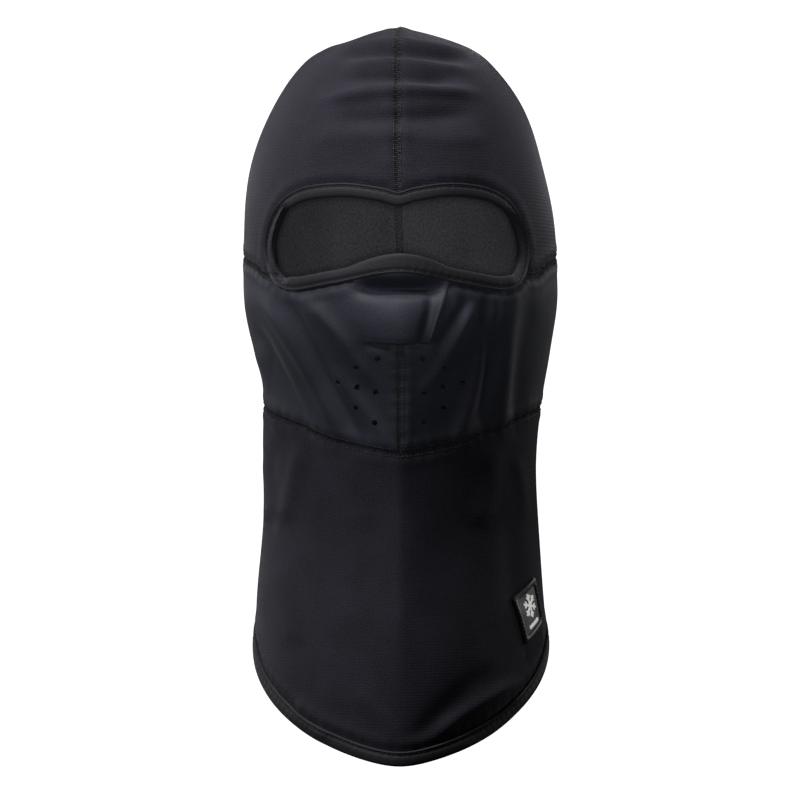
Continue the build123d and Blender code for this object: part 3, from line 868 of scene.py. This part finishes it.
def makeMask(side):
    name = "maskLeftCloth" if side > 0 else "maskRightCloth"
    low = float(runOfLevel(-124))
    turn, run, faces = chartGrid((0.0, 2.0), (float(runOfLevel(0)), low), panels["maskStep"])
    keeps = (
        lambda t, r: -aboveCheek(t, r), lambda t, r: -behindSide(t, r),
        aboveChin, keepOutsideEye, outsideVents,
    )
    for keep in keeps:
        turn, run, faces = clipped(turn, run, faces, keep)
    turn, faces = placedOnSide(turn, faces, side)
    piece = makePanel(name, turn, run, faces, softshell)
    return ridesOnHood(piece, "softshell_black", "mask_left" if side > 0 else "mask_right")


for side in (1, -1):
    makeMask(side)
print("mask ready")


def makeBib():
    high, low = float(runOfLevel(-86)), float(runOfLevel(panels["lowestLevel"]))
    turn, run, faces = chartGrid((-2.05, 2.05), (high, low), panels["step"])
    keeps = (keepAboveHem, lambda t, r: -behindSide(t, r), lambda t, r: -aboveChin(t, r))
    for keep in keeps:
        turn, run, faces = clipped(turn, run, faces, keep)
    turn, faces = placedOnSide(turn, faces, 1)
    piece = makePanel("bibCloth", turn, run, faces, fleeceFace)
    return ridesOnHood(piece, "fleece_black", "bib")


makeBib()
print("bib ready")


# The flap over the nose, sizes in millimetres.
noseFlap = {
    "topLeft": -24.5, "topRight": 27.5, "footLeft": -17.3, "footRight": 14.3, "top": -22.5, "foot": -59,
    "thickness": 1.0, "thicknessTop": 0.35, "liftTop": 0.3, "liftLeft": 0.25, "liftRight": 3.2,
    "mouthRise": 3.4, "edgeBead": 0.5, "edgeValley": 1.7, "edgeAt": 0.975, "edgeWidth": 0.018,
    "valleyAt": 0.85, "valleyWidth": 0.07, "turnStart": -25.0, "turnEnd": -36.0,
}


def makeNoseFlap():
    rows, columns = 56, 84
    down = np.linspace(0, 1, rows)[:, None]
    across = np.linspace(0, 1, columns)[None, :]
    z = noseFlap["top"] + (noseFlap["foot"] - noseFlap["top"]) * down + 0 * across
    left = noseFlap["topLeft"] + (noseFlap["footLeft"] - noseFlap["topLeft"]) * down
    right = noseFlap["topRight"] + (noseFlap["footRight"] - noseFlap["topRight"]) * down
    x = left + (right - left) * across
    width = levelSize(z, shape["headHalfWidth"], shape["neckHalfWidth"], shape["collarHalfWidth"])
    turn = np.arcsin(x / width).ravel()
    run = runOfLevel(z).ravel()
    # one side lies close to the mask and the other stands off as a crisp fold; the foot gapes a little
    side = noseFlap["liftLeft"] + (noseFlap["liftRight"] - noseFlap["liftLeft"]) * easeStep(across)
    gape = noseFlap["mouthRise"] * down ** 3 * np.sin(across * math.pi)
    lift = noseFlap["liftTop"] + (side - noseFlap["liftTop"]) * easeStep((down - 0.12) * 2.2) + gape
    # a beaded right edge and foot, with a valley beside the right edge
    valley = bell((across - noseFlap["valleyAt"]) / noseFlap["valleyWidth"]) * easeStep(down * 2.5)
    rightBead = bell((across - noseFlap["edgeAt"]) / noseFlap["edgeWidth"]) * easeStep(down * 3)
    footBead = bell((down - noseFlap["edgeAt"]) / noseFlap["edgeWidth"])
    lift = lift - noseFlap["edgeValley"] * valley + noseFlap["edgeBead"] * rightBead
    lift = lift + noseFlap["edgeBead"] * footBead
    thick = noseFlap["thicknessTop"] + (noseFlap["thickness"] - noseFlap["thicknessTop"]) * easeStep(down * 6)
    lift, thick = lift.ravel(), (thick + 0 * across).ravel()
    layers = clothLayers(turn, run, [lift, lift - thick], seams=False)
    faces = [tuple(reversed(face)) for face in gridFaces(rows, columns)]
    piece = clothPiece("noseFlapCloth", turn, run, faces, layers, softshell, fleeceNapAndPaintedLight)
    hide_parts("nose_flap")
    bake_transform(piece)


makeNoseFlap()
print("nose flap ready")


# The folded tape round the eye opening and the hem.
bindings = {
    "eyeWidth": 7.0, "hemWidth": 7.5, "outerRise": 0.85, "bead": 0.95, "innerDrop": 2.1,
    "stitchInset": 1.45, "ripple": 0.12, "rippleLength": 4.2,
    # at the ends of the eye opening the tape turns in towards the face
    "endStart": 64, "endStop": 80, "endNarrow": 0.45, "endTurn": 0.55,
    # where the tape's end laps over its start
    "lapRise": 0.4, "lapLength": 6.0, "eyeLapPlace": (-81, -22), "hemLapTurn": 2.95,
}


def bindingProfile(width):
    # across the tape: a beaded sewn edge, the stitch groove, the flat, the fold and the inside
    rise, drop, bead = bindings["outerRise"], -bindings["innerDrop"], bindings["bead"]
    outer = [(-0.1, -0.4), (-0.15, 0.3), (0.1, bead - 0.15), (0.45, bead), (0.8, bead - 0.15)]
    outer += [(1.1, 0.5), (1.5, 0.4), (1.9, 0.52)]
    outer += [(2.5, rise), (3.4, rise + 0.14), (4.6, rise + 0.12), (width - 1.6, rise)]
    middle, radius = (rise + drop) / 2, (rise - drop) / 2
    angles = np.linspace(0.35, math.pi - 0.35, 7)
    fold = [(width - 1.6 + 1.6 * math.sin(a), middle + radius * math.cos(a)) for a in angles]
    inner = [(width - 1.8, drop), (3.0, drop - 0.05), (1.0, drop + 0.1), (0.6, drop + 0.6)]
    return outer + fold + inner


def bindingEnds(path, along):
    # 1 where the eye opening's tape turns in, 0 elsewhere
    grid = np.append(path["along"], path["total"])
    turn = np.interp(np.mod(along, path["total"]), grid, np.append(path["turn"], path["turn"][0]))
    reach = np.abs(turn) * shape["eyeGirthRadius"]
    return easeStep((reach - bindings["endStart"]) / (bindings["endStop"] - bindings["endStart"]))


def bindingPoint(path, along, inward, inset, lift, turned):
    ends = bindingEnds(path, along) if turned else np.zeros(np.shape(along))
    left = inward * inset * (1 - bindings["endNarrow"] * ends)
    turnedIn = bindings["endTurn"] * ends * np.maximum(inset - 0.8, 0)
    return onPath(path, along, left, lift - turnedIn, seams=False)


def makeBinding(name, path, width, inward, turned):
    profile = bindingProfile(width)
    count = int(path["total"] / 1.1)
    along = np.linspace(0, path["total"], count, endpoint=False)
    wave = 2 * math.pi * along / bindings["rippleLength"] + 1.7 * np.sin(along / 17)
    ripple = bindings["ripple"] * np.sin(wave)
    rings, weave = [], []
    for inset, lift in profile:
        weight = math.exp(-((inset - 3.0) / 1.6) ** 2) if lift > 0 else 0.0
        rings.append(bindingPoint(path, along, inward, inset, lift + ripple * weight, turned))
        across = inset if lift > -0.5 else -inset
        weave.append(np.column_stack([np.full(count, across), along, np.zeros(count)]))
    points = np.stack(rings, axis=1).reshape(-1, 3)
    weave = np.stack(weave, axis=1).reshape(-1, 3)
    faces = gridFaces(count, len(profile), closedRows=True, closedColumns=True)
    if inward < 0:
        faces = [tuple(reversed(face)) for face in faces]
    return newObject(name, points, faces, [elastic], weave, sharp=70)


def makeLap(name, path, width, inward, along, turned):
    # the end of the tape laid over its start, cut on a slant and sewn down
    rows = np.linspace(0, 1, 12)
    columns = np.linspace(0.2, width - 0.5, 10)
    layers = []
    for rise in (bindings["lapRise"], 0.1):
        points = []
        for share in rows:
            places = along + share * bindings["lapLength"] + 0.25 * columns * (1 - share)
            edge = 0.55 * easeStep(min(share, 1 - share) * 8) + 0.45
            lift = bindings["outerRise"] + (rise - 0.1) * edge - 0.6 * easeStep((columns - width + 1.8) / 1.3)
            for a, c, h in zip(places, columns, lift):
                points.append(bindingPoint(path, np.array([a]), inward, c, np.array([h]), turned))
        layers.append(np.vstack(points))
    faces = gridFaces(len(rows), len(columns))
    if inward < 0:
        faces = [tuple(reversed(face)) for face in faces]
    count = len(rows) * len(columns)
    weave = np.zeros((count, 3))
    weave[:, 0] = np.tile(columns, len(rows))
    weave[:, 1] = np.repeat(rows * bindings["lapLength"], len(columns))
    both = closedSheet(faces, count)
    return newObject(name, np.vstack(layers), both, [elastic], np.vstack([weave, weave]), sharp=60)


# which side of each path the tape lies on: towards the middle of the eye opening, and down at the hem
eyeMiddle = clothPoint([0.0], [runOfLevel(0)])
leftGap, rightGap = [np.linalg.norm(onPath(eyePath, [0], left) - eyeMiddle) for left in (5.0, -5.0)]
eyeInward = 1.0 if leftGap < rightGap else -1.0
leftLevel, rightLevel = [onPath(hemPath, [0.0], left)[0][2] for left in (3.0, -3.0)]
hemInward = 1.0 if leftLevel < rightLevel else -1.0
eyeBindingPiece = makeBinding("eyeBindingTape", eyePath, bindings["eyeWidth"], eyeInward, True)
ridesOnHood(eyeBindingPiece, "binding_black", "eye_binding")
hemBindingPiece = makeBinding("hemBindingTape", hemTopPath, bindings["hemWidth"], hemInward, False)
ridesOnHood(hemBindingPiece, "binding_black", "hem_binding")
lapAcross, lapLevel = bindings["eyeLapPlace"]
lapGap = np.hypot(eyePath["turn"] * shape["eyeGirthRadius"] - lapAcross, levelOfRun(eyePath["run"]) - lapLevel)
eyeLapAlong = float(eyePath["along"][int(np.argmin(lapGap))])
eyeLap = makeLap("eyeBindingLap", eyePath, bindings["eyeWidth"], eyeInward, eyeLapAlong, True)
ridesOnHood(eyeLap, "binding_black")
hemLapAlong = float(hemTopPath["along"][int(np.argmin(np.abs(hemTopPath["turn"] - bindings["hemLapTurn"])))])
hemLap = makeLap("hemBindingLap", hemTopPath, bindings["hemWidth"], hemInward, hemLapAlong, False)
ridesOnHood(hemLap, "binding_black")
print("bindings ready")


# Sewing thread of the flat seams and the bindings.
stitching = {
    "pitch": 2.1, "gauge": 3.7, "threadRadius": 0.16, "lift": 0.22, "insideLift": -1.42,
    "bindingPitch": 2.6, "bindingStitch": 1.9, "bindingThreadRadius": 0.17,
}
strandShare = np.linspace(0, 1, 5)


def strands(path, starts, ends, leftStart, leftEnd, lift, arch, seams=True):
    # short curved strands of thread, from one place beside the path to another
    starts, ends = np.asarray(starts)[:, None], np.asarray(ends)[:, None]
    along = starts + (ends - starts) * strandShare
    left = leftStart + (leftEnd - leftStart) * strandShare + 0 * along
    rise = lift + arch * np.sin(strandShare * math.pi) + 0 * along
    return list(onPath(path, along, left, rise, seams))


def coverStitch(path, inside=False):
    # two needle rows with a looper thread laid across between them
    pitch, half = stitching["pitch"], stitching["gauge"] / 2
    lift = stitching["insideLift"] if inside else stitching["lift"]
    arch = -0.16 if inside else 0.16
    starts = np.arange(int(path["total"] / pitch)) * pitch
    starts = starts + np.random.default_rng(5).uniform(-0.08, 0.08, len(starts))
    lines = []
    for left in (-half, half):
        lines += strands(path, starts + 0.15, starts + pitch - 0.3, left, left, lift, arch)
    low, flat = lift - arch * 0.5, arch * 0.5
    lines += strands(path, starts, starts + pitch * 0.25, -half, half, low, flat)
    lines += strands(path, starts + pitch * 0.5, starts + pitch * 0.75, half, -half, low, flat)
    return lines


def makeStitch(name, lines, node, radius=stitching["threadRadius"]):
    points, faces = tubes(lines, radius * mm)
    piece = newObject(name, points, faces, [thread], sharp=80)
    return ridesOnHood(piece, "thread_black", node)


crownLines = coverStitch(crownFrontPath) + coverStitch(crownBackPath)
crownLines += coverStitch(crownBackPath, True) + coverStitch(crownFrontPath, True)
makeStitch("crownSeamThread", crownLines, "crown_seam")
makeStitch("maskSeamThread", coverStitch(maskSeamPath), "mask_seam")
makeStitch("chinSeamThread", coverStitch(chinPath), "chin_seam")
makeStitch("cheekSeamLeftThread", coverStitch(cheekPath[1]), "cheek_seam_left")
makeStitch("cheekSeamRightThread", coverStitch(cheekPath[-1]), "cheek_seam_right")
makeStitch("sideSeamLeftThread", coverStitch(sidePath[1]), "side_seam_left")
makeStitch("sideSeamRightThread", coverStitch(sidePath[-1]), "side_seam_right")


def rowStitch(path, inward, turned):
    starts = np.arange(int(path["total"] / stitching["bindingPitch"])) * stitching["bindingPitch"]
    along = starts[:, None] + stitching["bindingStitch"] * strandShare
    rise = 0.5 + 0.2 * np.sin(strandShare * math.pi) + 0 * along
    return list(bindingPoint(path, along, inward, bindings["stitchInset"], rise, turned))


eyeLines = rowStitch(eyePath, eyeInward, True)
makeStitch("eyeBindingThread", eyeLines, "eye_stitch", stitching["bindingThreadRadius"])
hemLines = rowStitch(hemTopPath, hemInward, False)
makeStitch("hemBindingThread", hemLines, "hem_stitch", stitching["bindingThreadRadius"])
print("stitching ready")


# The net behind the vents.
ventMesh = {"halfWidth": 42, "top": -61, "foot": -107, "pitch": 1.05, "strand": 0.13, "lift": -1.5}


def makeVentMesh():
    lines = []
    half, top, foot, pitch = ventMesh["halfWidth"], ventMesh["top"], ventMesh["foot"], ventMesh["pitch"]
    height = top - foot
    span = 2 * half + height
    for slant in (1, -1):
        for index in range(int(span / (pitch * math.sqrt(2)))):
            start = -half - height + index * pitch * math.sqrt(2)
            share = np.linspace(0, 1, 40)
            x = (start + height * share) * slant
            z = foot + height * share
            inside = np.abs(x) <= half
            if inside.sum() < 3:
                continue
            x, z = x[inside], z[inside]
            width = levelSize(z, shape["headHalfWidth"], shape["neckHalfWidth"], shape["collarHalfWidth"])
            lift = ventMesh["lift"] + 0.08 * slant
            lines.append(clothPoint(np.arcsin(x / width), runOfLevel(z), lift, seams=False))
    points, faces = tubes(lines, ventMesh["strand"] * mm, 4)
    piece = newObject("ventMeshNet", points, faces, [meshStrand], sharp=80)
    return ridesOnHood(piece, "mesh_black", "vent_mesh")


makeVentMesh()
print("vent mesh ready")


# The moulded patch at the collar.
patch = {
    "turn": 1.075, "level": -198.5, "tilt": 24, "lean": 16, "width": 26, "height": 26, "corner": 2,
    "base": 1.0, "frameWidth": 3.2, "frameRise": 0.65, "emblemRise": 0.45,
    "stitchInset": 1.5, "stitchRise": 0.18,
    "crystalLevel": 2.6, "crystalArm": 6.2, "crystalLine": 0.55,
    "barHalf": 5.5, "barFoot": -8.0, "barTop": -6.4,
}


def patchPoint(u, v, lift):
    # u runs back round the neck and v up, turned with the hem
    tilt, lean = math.radians(patch["tilt"]), math.radians(patch["lean"])
    across = u * math.cos(tilt) - v * math.sin(lean)
    up = u * math.sin(tilt) + v * math.cos(lean)
    turn0 = np.full(np.shape(u), patch["turn"])
    run0 = np.full(np.shape(u), float(runOfLevel(patch["level"])))
    turn, run = chartMove(turn0, run0, across, -up)
    return clothPoint(turn, run, lift, seams=False)


def roundedOutline(halfWidth, halfHeight, corner, perCorner=6):
    places = []
    for cx, cy, begin in ((1, 1, 0), (-1, 1, 90), (-1, -1, 180), (1, -1, 270)):
        for k in range(perCorner + 1):
            angle = math.radians(begin + 90 * k / perCorner)
            x = cx * (halfWidth - corner) + corner * math.cos(angle)
            y = cy * (halfHeight - corner) + corner * math.sin(angle)
            places.append((x, y))
    return resample(np.array(places), 1.0, closed=True)


def outlineRings(insets, lifts):
    rings = []
    for inset, lift in zip(insets, lifts):
        outline = roundedOutline(patch["width"] / 2, patch["height"] / 2, patch["corner"])
        size = np.array([patch["width"] / 2, patch["height"] / 2])
        outline = outline * (size - inset) / size
        rings.append(patchPoint(outline[:, 0], outline[:, 1], lift))
    return rings


def ringMesh(name, insets, lifts, material, closedProfile, cap=False):
    rings = outlineRings(insets, lifts)
    count = len(rings[0])
    faces = gridFaces(len(rings), count, closedRows=closedProfile, closedColumns=True)
    points = np.vstack(rings)
    if cap:
        last = (len(rings) - 1) * count
        faces.append(tuple(last + k for k in range(count)))
        faces.append(tuple(reversed(range(count))))
    return newObject(name, points, faces, [material], sharp=45)


def slabMesh(outline, low, high):
    # points and faces of a flat piece of any outline, lying on the patch
    outline = resample(np.array(outline, float), 0.6, closed=True)
    top = patchPoint(outline[:, 0], outline[:, 1], high)
    edge = patchPoint(outline[:, 0], outline[:, 1], low)
    count = len(outline)
    faces = gridFaces(2, count, closedColumns=True)
    faces.append(tuple(count + k for k in range(count)))
    faces.append(tuple(reversed(range(count))))
    return np.vstack([edge, top]), faces


def emblemOutlines():
    # a plain snow crystal over a plain bar
    outlines = []
    arm, line = patch["crystalArm"], patch["crystalLine"]
    centre = np.array([0.0, patch["crystalLevel"]])
    for k in range(6):
        angle = math.radians(60 * k + 30)
        along = np.array([math.cos(angle), math.sin(angle)])
        side = np.array([-along[1], along[0]])
        start, end = centre + side * line, centre - side * line
        outlines.append([start, start + along * arm, end + along * arm, end])
        for sign in (1, -1):
            root = centre + along * arm * 0.52
            tip = root + (along * 0.75 + side * sign * 0.75) * 2.3
            outlines.append([root + along * 0.5, tip + along * 0.4, tip - along * 0.45, root - along * 0.6])
    half, foot, top = patch["barHalf"], patch["barFoot"], patch["barTop"]
    outlines.append([(-half, foot), (half, foot), (half, top), (-half, top)])
    return outlines


def makePatch():
    base = patch["base"]
    insets, lifts = (0.0, 0.0, 0.3, 3.0, 6.0, 10.0), (0.05, base - 0.2, base, base, base, base)
    slab = ringMesh("patchBaseSlab", insets, lifts, mouldedPvc, False, cap=True)
    ridesOnHood(slab, "patch_rubber", "patch_base")
    wide, rise = patch["frameWidth"], patch["frameRise"]
    insets = (0.1, 0.15, 0.5, wide / 2, wide - 0.5, wide - 0.1, wide)
    lifts = [base + share * rise for share in (0.6, 1, 1.05, 1, 0.6)]
    lifts = [base - 0.1] + lifts + [base - 0.1]
    ring = ringMesh("patchFrameRing", insets, lifts, mouldedPvc, True)
    ridesOnHood(ring, "patch_rubber", "patch_frame")
    lines = []
    inset, arch = patch["stitchInset"], patch["stitchRise"]
    outline = roundedOutline(patch["width"] / 2 - inset, patch["height"] / 2 - inset, 1.2)
    outline = resample(outline, 0.5, closed=True)
    for start in range(0, len(outline) - 3, 4):
        part = outline[start:start + 4]
        lines.append(patchPoint(part[:, 0], part[:, 1], base + rise + np.array([0.0, arch, arch, 0.0])))
    points, faces = tubes(lines, stitching["threadRadius"] * mm)
    edgeThread = newObject("patchEdgeThread", points, faces, [thread], sharp=80)
    ridesOnHood(edgeThread, "thread_black", "patch_stitch")
    points, faces = [], []
    for outline in emblemOutlines():
        more, moreFaces = slabMesh(outline, base - 0.05, base + patch["emblemRise"])
        faces.extend(tuple(i + len(points) for i in face) for face in moreFaces)
        points.extend(more)
    # the emblem's white carries a faint painted glow
    emblem = newObject("patchEmblemMark", points, faces, [whitePvcAndPaintedGlow], sharp=40)
    ridesOnHood(emblem, "emblem_white", "patch_emblem")


makePatch()
print("patch ready")


# The blank label sewn inside the side seam.
careLabel = {"width": 0.026, "height": 0.044, "halfThickness": 0.00035, "edgeGap": 0.0004, "wave": 0.0006}


def makeLabel():
    low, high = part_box("care_label")
    rows, columns = 12, 16
    hinge = np.array([high[0] - careLabel["edgeGap"], high[1], 0])
    tip = np.array([low[0] + careLabel["edgeGap"], low[1], 0])
    points = []
    for side in (careLabel["halfThickness"], -careLabel["halfThickness"]):
        for i in range(rows):
            z = low[2] + (high[2] - low[2]) * i / (rows - 1)
            for j in range(columns):
                s = j / (columns - 1)
                place = hinge + (tip - hinge) * s
                wave = careLabel["wave"] * math.sin(s * 4.0 + z * 90) * s
                points.append((place[0] + side + wave, place[1], z))
    faces = closedSheet(gridFaces(rows, columns), rows * columns)
    piece = newObject("careLabelTape", points, faces, [satinTape])
    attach(piece, "label")
    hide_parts("care_label")


makeLabel()
print("label ready")


# Backdrop, lamps and camera, in metres.
studio = {
    "distance": 2.0, "level": -0.088, "frameHeight": 0.4270, "floor": -3.2, "white": "f4f4f4",
    "keyPower": 38.0, "keyPlace": (-1.45, -1.2, 1.55), "keySize": 0.6,
    "topPower": 31.0, "topPlace": (-0.1, -0.45, 1.9), "topSize": 0.5,
    "spotPower": 36.0, "spotAngle": 7.6, "spotPitch": 0.045,
    "rimLeftPower": 5.0, "rimRightPower": 4.5, "rimPlace": (1.5, 0.9, 0.3), "rimSize": 0.8, "ambient": 0.034,
}


def areaLight(name, place, aim, size, power):
    data = bpy.data.lights.new(name, "AREA")
    data.shape = "DISK"
    data.size = size
    data.energy = power
    lamp = bpy.data.objects.new(name, data)
    bpy.context.scene.collection.objects.link(lamp)
    lamp.location = place
    direction = np.array(aim) - np.array(place)
    flat = math.hypot(direction[0], direction[1])
    heading = math.atan2(direction[1], direction[0])
    lamp.rotation_euler = (math.atan2(flat, -direction[2]), 0, heading - math.pi / 2)


def makeStudio():
    low, high = cadBounds
    rows = []
    for k in range(13):
        angle = math.pi / 2 * k / 12
        rows.append((2.2 + 1.4 * math.sin(angle), studio["floor"] + 1.4 * (1 - math.cos(angle))))
    profile = [(-3.0, studio["floor"])] + rows + [(3.6, 4.5)]
    points = [(x, y, z) for y, z in profile for x in (-5.0, 5.0)]
    faces = [(2 * i, 2 * i + 1, 2 * i + 3, 2 * i + 2) for i in range(len(profile) - 1)]
    paper, _, shader = newMaterial("studioPaper")
    shader.inputs["Base Color"].default_value = linearColour(studio["white"])
    shader.inputs["Roughness"].default_value = 0.9
    shader.inputs["Emission Color"].default_value = (1, 1, 1, 1)
    shader.inputs["Emission Strength"].default_value = 1.0
    sweep = newObject("studioSweep", points, faces, [paper], sharp=180)
    # the paper stays white to the camera without flooding the dark cloth with light
    sweep.visible_diffuse = False
    sweep.visible_glossy = False
    world = bpy.context.scene.world or bpy.data.worlds.new("studio")
    bpy.context.scene.world = world
    world.use_nodes = True
    background = world.node_tree.nodes["Background"]
    background.inputs[0].default_value = (1, 1, 1, 1)
    background.inputs[1].default_value = studio["ambient"]
    # plain white behind the object from every side, dim as a light
    bright = addNode(world.node_tree, "ShaderNodeBackground", {"Strength": 1.0})
    bright.inputs[0].default_value = (1, 1, 1, 1)
    eye = addNode(world.node_tree, "ShaderNodeLightPath")
    both = addNode(world.node_tree, "ShaderNodeMixShader",
                   links={0: eye.outputs["Is Camera Ray"], 1: background.outputs[0], 2: bright.outputs[0]})
    world.node_tree.links.new(both.outputs[0], world.node_tree.nodes["World Output"].inputs[0])
    middle = (0, 0, (low[2] + high[2]) / 2)
    areaLight("keyLight", studio["keyPlace"], middle, studio["keySize"], studio["keyPower"])
    areaLight("topLight", studio["topPlace"], (0, 0, 0), studio["topSize"], studio["topPower"])
    # a narrow lamp from straight ahead reaches the inside through the eye opening
    spot = bpy.data.lights.new("frontSpot", "SPOT")
    spot.energy = studio["spotPower"]
    spot.spot_size = math.radians(studio["spotAngle"])
    spot.spot_blend = 0.6
    spot.shadow_soft_size = 0.05
    lamp = bpy.data.objects.new("frontSpot", spot)
    bpy.context.scene.collection.objects.link(lamp)
    lamp.location = (0, -studio["distance"], studio["level"])
    lamp.rotation_euler = (math.pi / 2 + studio["spotPitch"], 0, 0)
    x, y, z = studio["rimPlace"]
    areaLight("rimLeftLight", (-x, y, z), middle, studio["rimSize"], studio["rimLeftPower"])
    areaLight("rimRightLight", (x, y, z), middle, studio["rimSize"], studio["rimRightPower"])
    camera = bpy.data.cameras.new("camera")
    camera.sensor_width = 36
    camera.lens = 36 / (studio["frameHeight"] / studio["distance"])
    viewer = bpy.data.objects.new("camera", camera)
    bpy.context.scene.collection.objects.link(viewer)
    viewer.location = (0, -studio["distance"], studio["level"])
    viewer.rotation_euler = (math.pi / 2, 0, 0)
    bpy.context.scene.camera = viewer
    bpy.context.scene.view_settings.view_transform = "Standard"


makeStudio()
print("studio ready")
